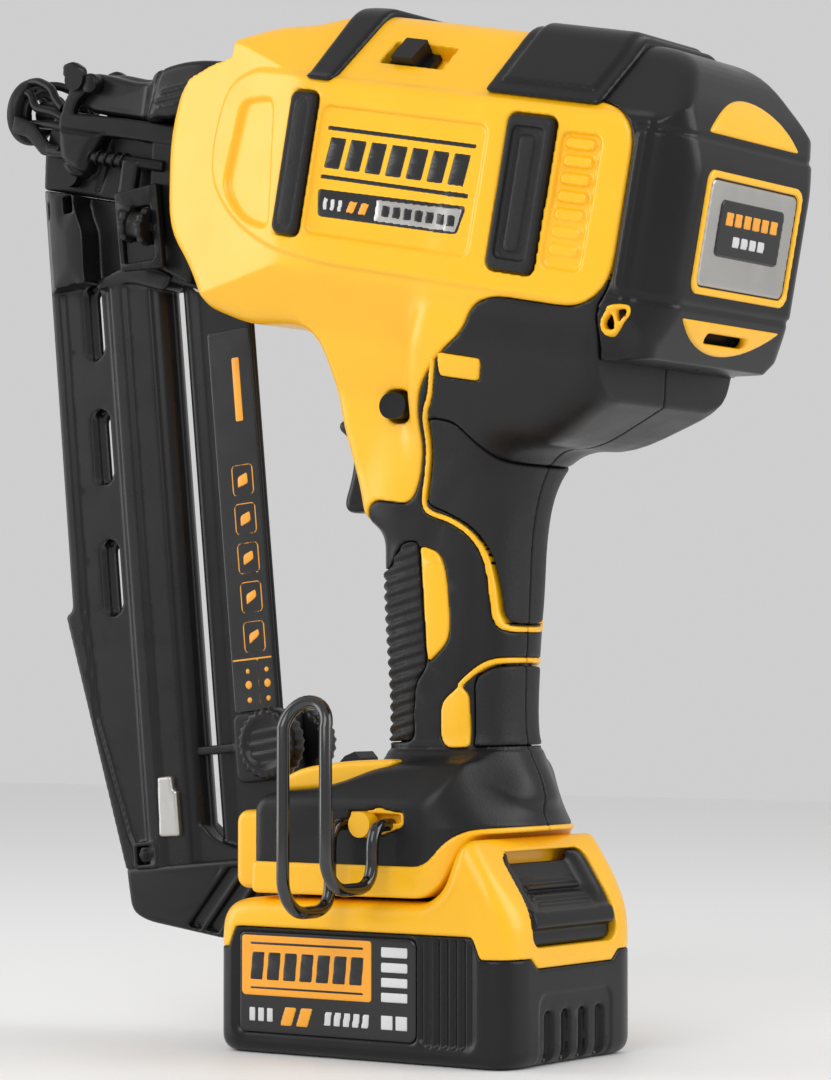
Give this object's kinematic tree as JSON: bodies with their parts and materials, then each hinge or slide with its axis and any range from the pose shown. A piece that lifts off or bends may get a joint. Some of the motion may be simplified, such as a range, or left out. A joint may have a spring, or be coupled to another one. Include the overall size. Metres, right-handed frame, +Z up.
{
  "type": "cordless angled finish nailer",
  "caption": "Battery-powered angled finish nailer with a flywheel drive, sliding magazine pusher, contact trip, jam door, trigger, belt hook and slide-on battery pack.",
  "frame": {"origin": "centre of the battery's flat base, on the surface that the tool stands on", "axes": "+Z up; the tool fires towards -X, 11 degrees nose up; its left side faces -Y"},
  "size_m": [0.2936, 0.1161, 0.331],
  "materials": {
    "yellow_abs": "satin moulded, fine texture",
    "rubber_black": "soft over-moulded rubber, leather grain",
    "plastic_black": "satin black glass-filled nylon",
    "steel_black": "black oxide, satin",
    "wire_black": "gloss black coat",
    "steel_bright": "machined",
    "badge_silver": "brushed",
    "copper": "enamelled winding",
    "board_green": "solder mask",
    "cell_blue": "shrink sleeve",
    "label_dark": "printed film",
    "lens_clear": "clear moulded"
  },
  "bodies": {
    "tool": {"housing_left": "yellow_abs", "housing_right": "yellow_abs", "grip_left": "rubber_black", "grip_right": "rubber_black", "foot_base": "yellow_abs", "rear_cap": "rubber_black", "cap_trim": "yellow_abs", "rear_badge": "badge_silver", "top_bumpers": "rubber_black", "side_bumpers": "rubber_black", "housing_screws": "steel_black", "trigger_pin": "steel_bright", "trigger_spring": "steel_bright", "trigger_switch": "plastic_black", "nosepiece": "steel_black", "door_pin": "steel_black", "nose_bolts": "steel_black", "trip_springs": "steel_bright", "magazine_left": "plastic_black", "magazine_right": "plastic_black", "magazine_base": "plastic_black", "magazine_bracket": "plastic_black", "magazine_screws": "steel_bright", "magazine_label": "label_dark", "roll_spring": "badge_silver", "belt_hook": "wire_black", "hook_screw": "yellow_abs", "foot_plate": "yellow_abs", "headlight_lenses": "lens_clear", "terminal_block": "plastic_black", "control_board": "board_green", "drive_frame": "badge_silver", "guide_rails": "steel_bright", "return_springs": "steel_bright", "drive_stops": "rubber_black", "motor_stator": "copper", "motor_bearings": "steel_bright", "solenoid": "copper"},
    "trigger": {"trigger": "plastic_black"},
    "lock_off": {"lock_off_button": "plastic_black"},
    "stall_lever": {"stall_lever": "plastic_black"},
    "jam_door": {"jam_door": "plastic_black"},
    "contact_trip": {"contact_trip": "steel_black", "no_mar_pad": "rubber_black", "depth_screw": "steel_bright"},
    "depth_wheel": {"depth_wheel": "plastic_black"},
    "pusher": {"pusher": "steel_black", "pusher_knobs": "plastic_black", "nail_strip": "steel_bright"},
    "mode_selector": {"mode_selector": "plastic_black"},
    "battery": {"battery_lower": "plastic_black", "battery_upper": "yellow_abs", "battery_cells": "cell_blue", "battery_labels": "label_dark"},
    "battery_latch": {"battery_latch": "plastic_black"},
    "driver": {"driver": "steel_black"},
    "flywheel": {"flywheel": "steel_bright"},
    "pinch_arm": {"pinch_arm": "steel_black"},
    "pinch_roller": {"pinch_roller": "steel_bright"},
    "plunger": {"solenoid_plunger": "steel_bright"}
  },
  "joints": [
    {"name": "trigger_pull", "type": "hinge", "parent": "tool", "child": "trigger", "pos_m": [-0.006, 0, 0.196], "axis": [0, -1, 0], "range_deg": [0, 9], "stiffness_Nm_per_rad": 0.8, "springref_deg": -5.73, "deforming": ["trigger_spring"]},
    {"name": "lock_off_slide", "type": "slide", "parent": "tool", "child": "lock_off", "axis": [0, 1, 0], "range_m": [-0.003, 0.003]},
    {"name": "stall_lever_slide", "type": "slide", "parent": "tool", "child": "stall_lever", "axis": [0.9816, 0, -0.1908], "range_m": [0, 0.007], "stiffness_N_per_m": 150, "springref_m": -0.002},
    {"name": "jam_door_swing", "type": "hinge", "parent": "tool", "child": "jam_door", "pos_m": [-0.13465, 0, 0.32091], "axis": [0, -1, 0], "range_deg": [0, 95]},
    {"name": "contact_trip_press", "type": "slide", "parent": "tool", "child": "contact_trip", "axis": [0.9816, 0, -0.1908], "range_m": [0, 0.008], "stiffness_N_per_m": 600, "springref_m": -0.01, "deforming": ["trip_springs"]},
    {"name": "depth_wheel_turn", "type": "hinge", "parent": "contact_trip", "child": "depth_wheel", "pos_m": [-0.11329, -0.0155, 0.2704], "axis": [0.9816, 0, -0.1908], "range_deg": [-150, 150]},
    {"name": "pusher_slide", "type": "slide", "parent": "tool", "child": "pusher", "axis": [-0.0958, 0, 0.9954], "range_m": [0, 0.125]},
    {"name": "mode_selector_slide", "type": "slide", "parent": "tool", "child": "mode_selector", "axis": [0, 1, 0], "range_m": [-0.0035, 0.0035]},
    {"name": "battery_slide", "type": "slide", "parent": "tool", "child": "battery", "axis": [1, 0, 0], "range_m": [0, 0.075]},
    {"name": "battery_latch_press", "type": "slide", "parent": "battery", "child": "battery_latch", "axis": [-1, 0, 0], "range_m": [0, 0.0035], "stiffness_N_per_m": 800, "springref_m": -0.002},
    {"name": "driver_stroke", "type": "slide", "parent": "tool", "child": "driver", "axis": [-0.9816, 0, 0.1908], "range_m": [0, 0.072], "stiffness_N_per_m": 100, "springref_m": -0.02, "deforming": ["return_springs"]},
    {"name": "flywheel_spin", "type": "hinge", "parent": "tool", "child": "flywheel", "pos_m": [0.05481, 0, 0.22856], "axis": [0, 1, 0], "continuous": true},
    {"name": "pinch_arm_swing", "type": "hinge", "parent": "tool", "child": "pinch_arm", "pos_m": [0.08944, 0, 0.28092], "axis": [0, -1, 0], "range_deg": [0, 4], "stiffness_Nm_per_rad": 2, "springref_deg": -5.73},
    {"name": "pinch_roller_spin", "type": "hinge", "parent": "pinch_arm", "child": "pinch_roller", "pos_m": [0.06492, 0, 0.28059], "axis": [0, 1, 0], "continuous": true},
    {"name": "plunger_pull", "type": "slide", "parent": "tool", "child": "plunger", "axis": [-0.9816, 0, 0.1908], "range_m": [0, 0.001]}
  ],
  "couplings": [
    {"joint": "plunger_pull", "follows": "pinch_arm_swing", "m_per_rad": 0.0125}
  ]
}
